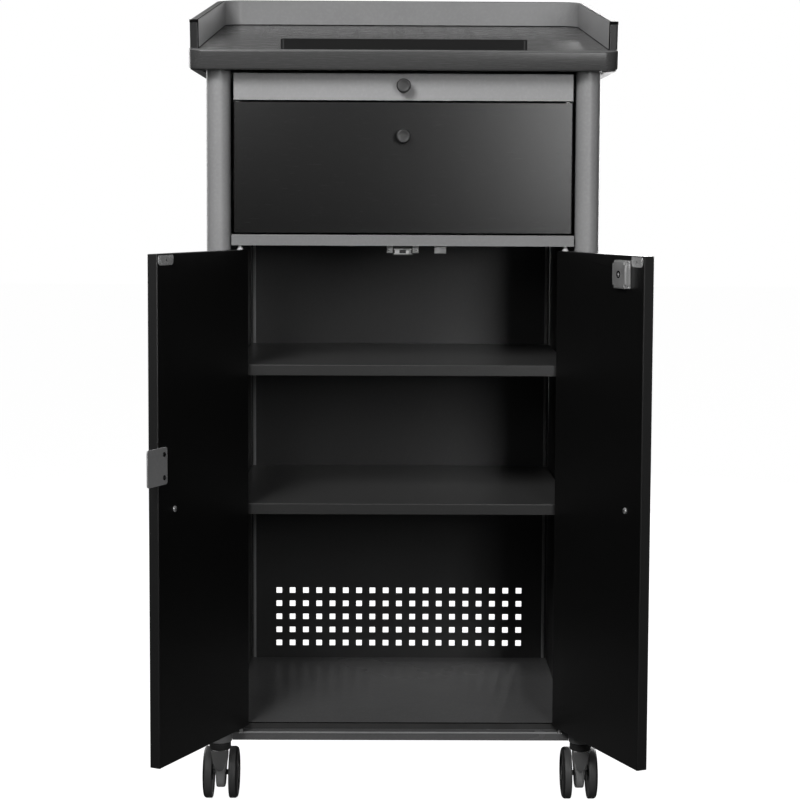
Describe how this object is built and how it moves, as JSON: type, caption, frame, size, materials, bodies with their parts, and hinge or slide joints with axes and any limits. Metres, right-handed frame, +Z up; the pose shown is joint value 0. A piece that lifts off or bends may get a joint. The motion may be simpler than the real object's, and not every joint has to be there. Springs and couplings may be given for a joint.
{
  "type": "lectern podium",
  "caption": "Rolling lectern with sloping railed worktop, book stop, keyboard tray, drawer, two hinged doors, shelves, vented back and swivel casters.",
  "frame": {"origin": "on the floor, on the cabinet's mid plane, under the middle of the object's depth with both doors open as at rest", "axes": "+X is the speaker's right, +Y points to the audience, +Z is up"},
  "size_m": [0.6726, 0.7068, 1.1883],
  "materials": {
    "post_paint": "satin powder coat",
    "sheet_paint": "satin powder coat",
    "board_laminate": "satin melamine with fine grain",
    "top_laminate": "satin laminate with fine grain",
    "black_plastic": "satin",
    "bright_steel": "nickel plated",
    "zinc_steel": "zinc plated",
    "caster_plastic": "moulded",
    "wheel_rubber": "moulded tread"
  },
  "bodies": {
    "cabinet": {"post_front_left": "post_paint", "post_front_right": "post_paint", "post_rear_left": "post_paint", "post_rear_right": "post_paint", "side_panel_left": "board_laminate", "side_panel_right": "board_laminate", "back_panel": "sheet_paint", "bottom_pan": "sheet_paint", "divider_panel": "sheet_paint", "top_wedge_frame": "sheet_paint", "worktop": "top_laminate", "gallery_rail": "sheet_paint", "shelf_upper": "board_laminate", "shelf_lower": "board_laminate", "magnetic_catch": "black_plastic", "lock_strike": "bright_steel", "tray_slide_outer_left": "zinc_steel", "tray_slide_outer_right": "zinc_steel", "drawer_slide_outer_left": "zinc_steel", "drawer_slide_outer_right": "zinc_steel"},
    "book_stop": {"book_stop": "black_plastic"},
    "keyboard_tray": {"keyboard_tray": "sheet_paint", "tray_knob": "black_plastic", "tray_slide_inner_left": "zinc_steel", "tray_slide_inner_right": "zinc_steel"},
    "tray_runners": {"tray_slide_middle_left": "zinc_steel", "tray_slide_middle_right": "zinc_steel"},
    "drawer": {"drawer_front": "board_laminate", "drawer_box": "sheet_paint", "drawer_knob": "black_plastic", "drawer_slide_inner_left": "zinc_steel", "drawer_slide_inner_right": "zinc_steel"},
    "drawer_runners": {"drawer_slide_middle_left": "zinc_steel", "drawer_slide_middle_right": "zinc_steel"},
    "door_left": {"door_left": "board_laminate", "door_left_knob": "black_plastic", "catch_plate_left": "bright_steel", "door_overlap_plate": "sheet_paint", "hinge_pin_left_top": "bright_steel", "hinge_pin_left_bottom": "bright_steel"},
    "door_right": {"door_right": "board_laminate", "door_right_knob": "black_plastic", "catch_plate_right": "bright_steel", "lock_case": "bright_steel", "hinge_pin_right_top": "bright_steel", "hinge_pin_right_bottom": "bright_steel"},
    "lock_cylinder": {"lock_cylinder": "bright_steel"},
    "lock_bolt": {"lock_bolt": "bright_steel"},
    "caster_front_left": {"caster_front_left_fork": "caster_plastic"},
    "caster_front_left_wheel_left": {"caster_front_left_wheel_left": "wheel_rubber"},
    "caster_front_left_wheel_right": {"caster_front_left_wheel_right": "wheel_rubber"},
    "caster_front_right": {"caster_front_right_fork": "caster_plastic"},
    "caster_front_right_wheel_left": {"caster_front_right_wheel_left": "wheel_rubber"},
    "caster_front_right_wheel_right": {"caster_front_right_wheel_right": "wheel_rubber"},
    "caster_rear_left": {"caster_rear_left_fork": "caster_plastic"},
    "caster_rear_left_wheel_left": {"caster_rear_left_wheel_left": "wheel_rubber"},
    "caster_rear_left_wheel_right": {"caster_rear_left_wheel_right": "wheel_rubber"},
    "caster_rear_right": {"caster_rear_right_fork": "caster_plastic"},
    "caster_rear_right_wheel_left": {"caster_rear_right_wheel_left": "wheel_rubber"},
    "caster_rear_right_wheel_right": {"caster_rear_right_wheel_right": "wheel_rubber"}
  },
  "joints": [
    {"name": "door_left_hinge", "type": "hinge", "parent": "cabinet", "child": "door_left", "pos_m": [-0.23, -0.1178, 0.4544], "axis": [0, 0, 1], "range_deg": [-2.1, 115.9]},
    {"name": "door_right_hinge", "type": "hinge", "parent": "cabinet", "child": "door_right", "pos_m": [0.23, -0.1178, 0.4544], "axis": [0, 0, 1], "range_deg": [-113.5, 4.5]},
    {"name": "keyboard_tray_slide", "type": "slide", "parent": "cabinet", "child": "keyboard_tray", "axis": [0, -1, 0], "range_m": [0, 0.3]},
    {"name": "tray_runner_slide", "type": "slide", "parent": "cabinet", "child": "tray_runners", "axis": [0, -1, 0], "range_m": [0, 0.15]},
    {"name": "drawer_slide", "type": "slide", "parent": "cabinet", "child": "drawer", "axis": [0, -1, 0], "range_m": [0, 0.33]},
    {"name": "drawer_runner_slide", "type": "slide", "parent": "cabinet", "child": "drawer_runners", "axis": [0, -1, 0], "range_m": [0, 0.165]},
    {"name": "book_stop_slide", "type": "slide", "parent": "cabinet", "child": "book_stop", "axis": [0, -0.1506, 0.9886], "range_m": [-0.013, 0], "stiffness_N_per_m": 150, "springref_m": 0.02},
    {"name": "lock_cylinder_turn", "type": "hinge", "parent": "door_right", "child": "lock_cylinder", "pos_m": [0.30038, -0.27966, 0.7713], "axis": [-0.9171, -0.3987, 0], "range_deg": [0, 90]},
    {"name": "lock_bolt_slide", "type": "slide", "parent": "door_right", "child": "lock_bolt", "axis": [0, 0, 1], "range_m": [0, 0.008]},
    {"name": "caster_front_left_swivel", "type": "hinge", "parent": "cabinet", "child": "caster_front_left", "pos_m": [-0.26, -0.1178, 0.083], "axis": [0, 0, 1], "continuous": true},
    {"name": "caster_front_left_wheel_left_spin", "type": "hinge", "parent": "caster_front_left", "child": "caster_front_left_wheel_left", "pos_m": [-0.2786, -0.0958, 0.03718], "axis": [1, 0, 0], "continuous": true},
    {"name": "caster_front_left_wheel_right_spin", "type": "hinge", "parent": "caster_front_left", "child": "caster_front_left_wheel_right", "pos_m": [-0.2414, -0.0958, 0.03718], "axis": [1, 0, 0], "continuous": true},
    {"name": "caster_front_right_swivel", "type": "hinge", "parent": "cabinet", "child": "caster_front_right", "pos_m": [0.26, -0.1178, 0.083], "axis": [0, 0, 1], "continuous": true},
    {"name": "caster_front_right_wheel_left_spin", "type": "hinge", "parent": "caster_front_right", "child": "caster_front_right_wheel_left", "pos_m": [0.2414, -0.0958, 0.03718], "axis": [1, 0, 0], "continuous": true},
    {"name": "caster_front_right_wheel_right_spin", "type": "hinge", "parent": "caster_front_right", "child": "caster_front_right_wheel_right", "pos_m": [0.2786, -0.0958, 0.03718], "axis": [1, 0, 0], "continuous": true},
    {"name": "caster_rear_left_swivel", "type": "hinge", "parent": "cabinet", "child": "caster_rear_left", "pos_m": [-0.26, 0.2942, 0.083], "axis": [0, 0, 1], "continuous": true},
    {"name": "caster_rear_left_wheel_left_spin", "type": "hinge", "parent": "caster_rear_left", "child": "caster_rear_left_wheel_left", "pos_m": [-0.2786, 0.3162, 0.03718], "axis": [1, 0, 0], "continuous": true},
    {"name": "caster_rear_left_wheel_right_spin", "type": "hinge", "parent": "caster_rear_left", "child": "caster_rear_left_wheel_right", "pos_m": [-0.2414, 0.3162, 0.03718], "axis": [1, 0, 0], "continuous": true},
    {"name": "caster_rear_right_swivel", "type": "hinge", "parent": "cabinet", "child": "caster_rear_right", "pos_m": [0.26, 0.2942, 0.083], "axis": [0, 0, 1], "continuous": true},
    {"name": "caster_rear_right_wheel_left_spin", "type": "hinge", "parent": "caster_rear_right", "child": "caster_rear_right_wheel_left", "pos_m": [0.2414, 0.3162, 0.03718], "axis": [1, 0, 0], "continuous": true},
    {"name": "caster_rear_right_wheel_right_spin", "type": "hinge", "parent": "caster_rear_right", "child": "caster_rear_right_wheel_right", "pos_m": [0.2786, 0.3162, 0.03718], "axis": [1, 0, 0], "continuous": true}
  ],
  "couplings": [
    {"joint": "tray_runner_slide", "follows": "keyboard_tray_slide", "ratio": 0.5},
    {"joint": "drawer_runner_slide", "follows": "drawer_slide", "ratio": 0.5},
    {"joint": "lock_bolt_slide", "follows": "lock_cylinder_turn", "m_per_rad": 0.005093}
  ]
}
